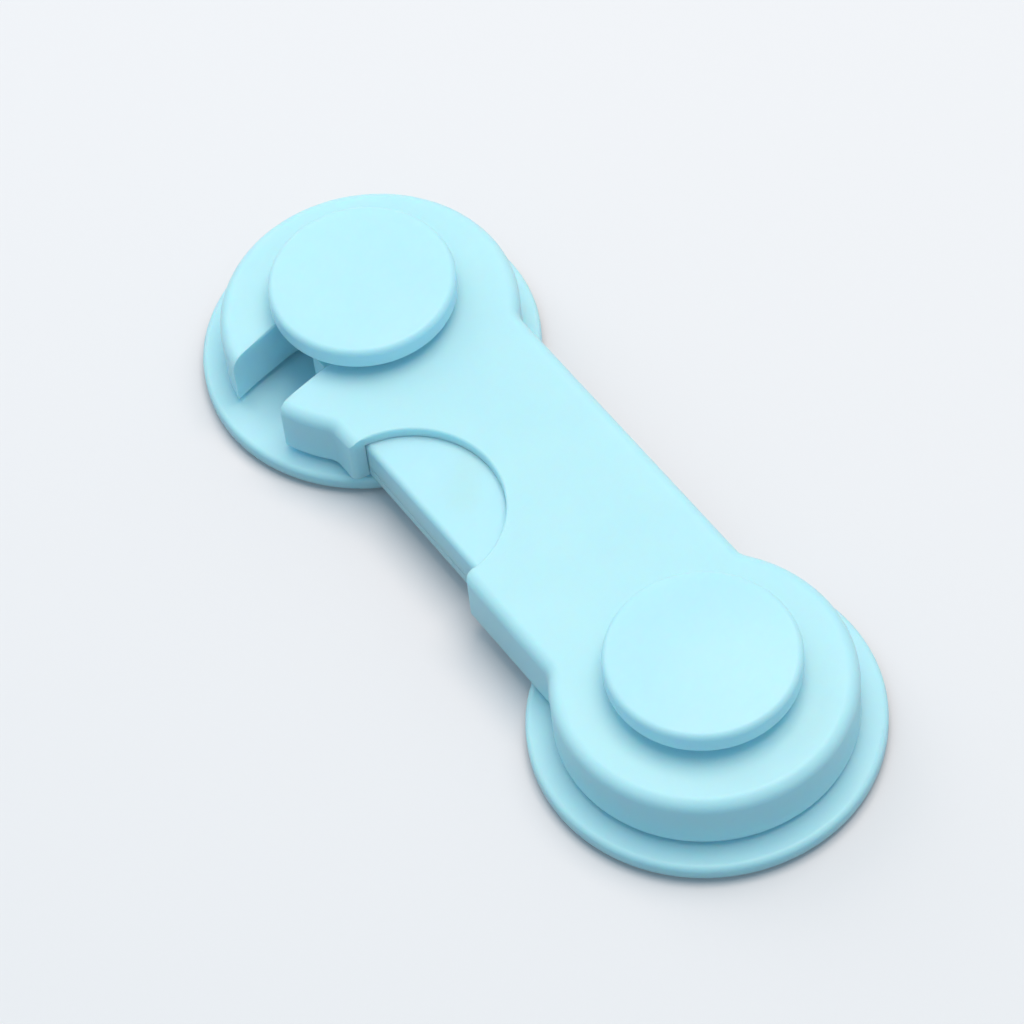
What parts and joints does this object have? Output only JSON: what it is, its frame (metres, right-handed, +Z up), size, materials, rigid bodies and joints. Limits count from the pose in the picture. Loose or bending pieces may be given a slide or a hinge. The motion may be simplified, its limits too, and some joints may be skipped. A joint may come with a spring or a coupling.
{
  "type": "cabinet safety lock",
  "caption": "Stick-on cabinet safety lock: an arm turns on one round base, hooks over a capped post on the other and is released by a push button in its side.",
  "frame": {"origin": "midway between the two posts, on the surface that the bases are stuck to", "axes": "+X from the latch post to the pivot post, -Y towards the slot and the button, +Z up from the bases"},
  "size_m": [0.0965, 0.0364, 0.0139],
  "materials": {
    "blue_plastic": "glossy moulded",
    "natural_acetal": "satin",
    "screw_steel": "zinc plated",
    "spring_steel": "bright drawn",
    "pad_foam": "closed-cell foam tape",
    "liner_paper": "siliconised"
  },
  "bodies": {
    "bases": {"latch_base": "blue_plastic", "latch_pad": "pad_foam", "latch_liner": "liner_paper", "latch_cap": "blue_plastic", "latch_screw": "screw_steel", "pivot_base": "blue_plastic", "pivot_pad": "pad_foam", "pivot_liner": "liner_paper", "pivot_cap": "blue_plastic", "pivot_screw": "screw_steel", "pivot_washer": "natural_acetal"},
    "arm": {"arm_shell": "blue_plastic", "arm_cover": "blue_plastic", "cover_screws": "screw_steel", "pivot_bush": "natural_acetal", "return_spring": "spring_steel"},
    "button": {"release_button": "blue_plastic"},
    "slide": {"latch_slide": "natural_acetal", "latch_tongue": "blue_plastic", "cam_pin": "screw_steel"}
  },
  "joints": [
    {"name": "arm_swing", "type": "hinge", "parent": "bases", "child": "arm", "pos_m": [0.03, 0, 0], "axis": [0, 0, -1], "range_deg": [0, 340], "deforming": ["latch_tongue"]},
    {"name": "button_press", "type": "slide", "parent": "arm", "child": "button", "axis": [0, 1, 0], "range_m": [0, 0.005], "stiffness_N_per_m": 600, "springref_m": -0.003, "deforming": ["return_spring"]},
    {"name": "tongue_draw", "type": "slide", "parent": "arm", "child": "slide", "axis": [1, 0, 0], "range_m": [0, 0.005]}
  ],
  "couplings": [
    {"joint": "tongue_draw", "follows": "button_press", "ratio": 1}
  ]
}
